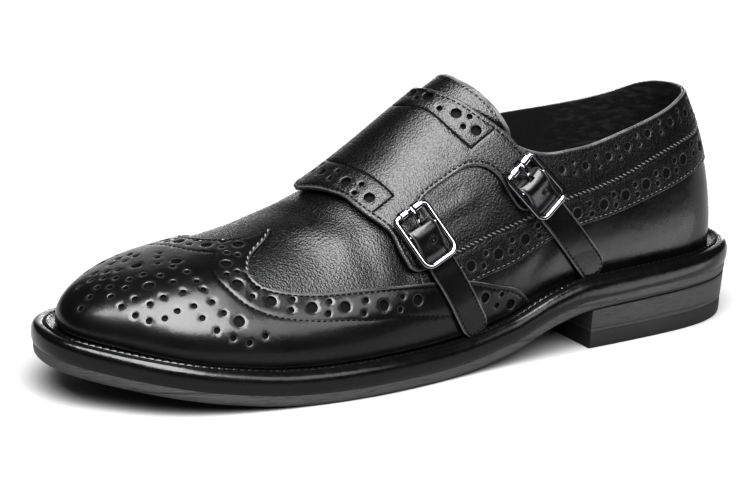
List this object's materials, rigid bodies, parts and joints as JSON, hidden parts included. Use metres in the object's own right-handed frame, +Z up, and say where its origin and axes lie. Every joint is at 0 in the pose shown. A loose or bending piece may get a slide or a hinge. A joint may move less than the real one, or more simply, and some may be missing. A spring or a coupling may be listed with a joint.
{
  "type": "monk strap shoe",
  "caption": "Left black leather monk-strap wingtip shoe: hollow upper open at the collar, buckled straps, storm welt, leather sole and stacked heel.",
  "frame": {"origin": "on the floor, under the middle of the whole shoe's box", "axes": "+X from the heel to the toe, +Y to the outer side of this left shoe (the buckle side), +Z up; the top lift and the forefoot of the sole stand on z = 0"},
  "size_m": [0.3034, 0.1024, 0.1056],
  "materials": {
    "grain_leather": "black pebbled calf, satin",
    "smooth_leather": "black smooth calf, polished",
    "lining": "black napped lining, matte",
    "welt": "black waxed welt, glossy",
    "sole_edge": "dark grey layered sole leather, matte",
    "rubber": "black rubber, matte",
    "black_nickel": "polished black nickel"
  },
  "bodies": {
    "root": {"outsole": "sole_edge", "midsole_welt": "welt", "heel_stack": "sole_edge", "top_lift": "rubber", "insole": "lining", "upper": "grain_leather", "wingtip": "smooth_leather", "monk_flap": "grain_leather", "tongue": "grain_leather", "buckle_tab_front": "smooth_leather", "buckle_tab_rear": "smooth_leather", "buckle_frame_front": "black_nickel", "buckle_roller_front_1": "black_nickel", "buckle_roller_front_2": "black_nickel", "buckle_prong_front": "black_nickel", "buckle_frame_rear": "black_nickel", "buckle_roller_rear_1": "black_nickel", "buckle_roller_rear_2": "black_nickel", "buckle_prong_rear": "black_nickel"}
  },
  "joints": []
}
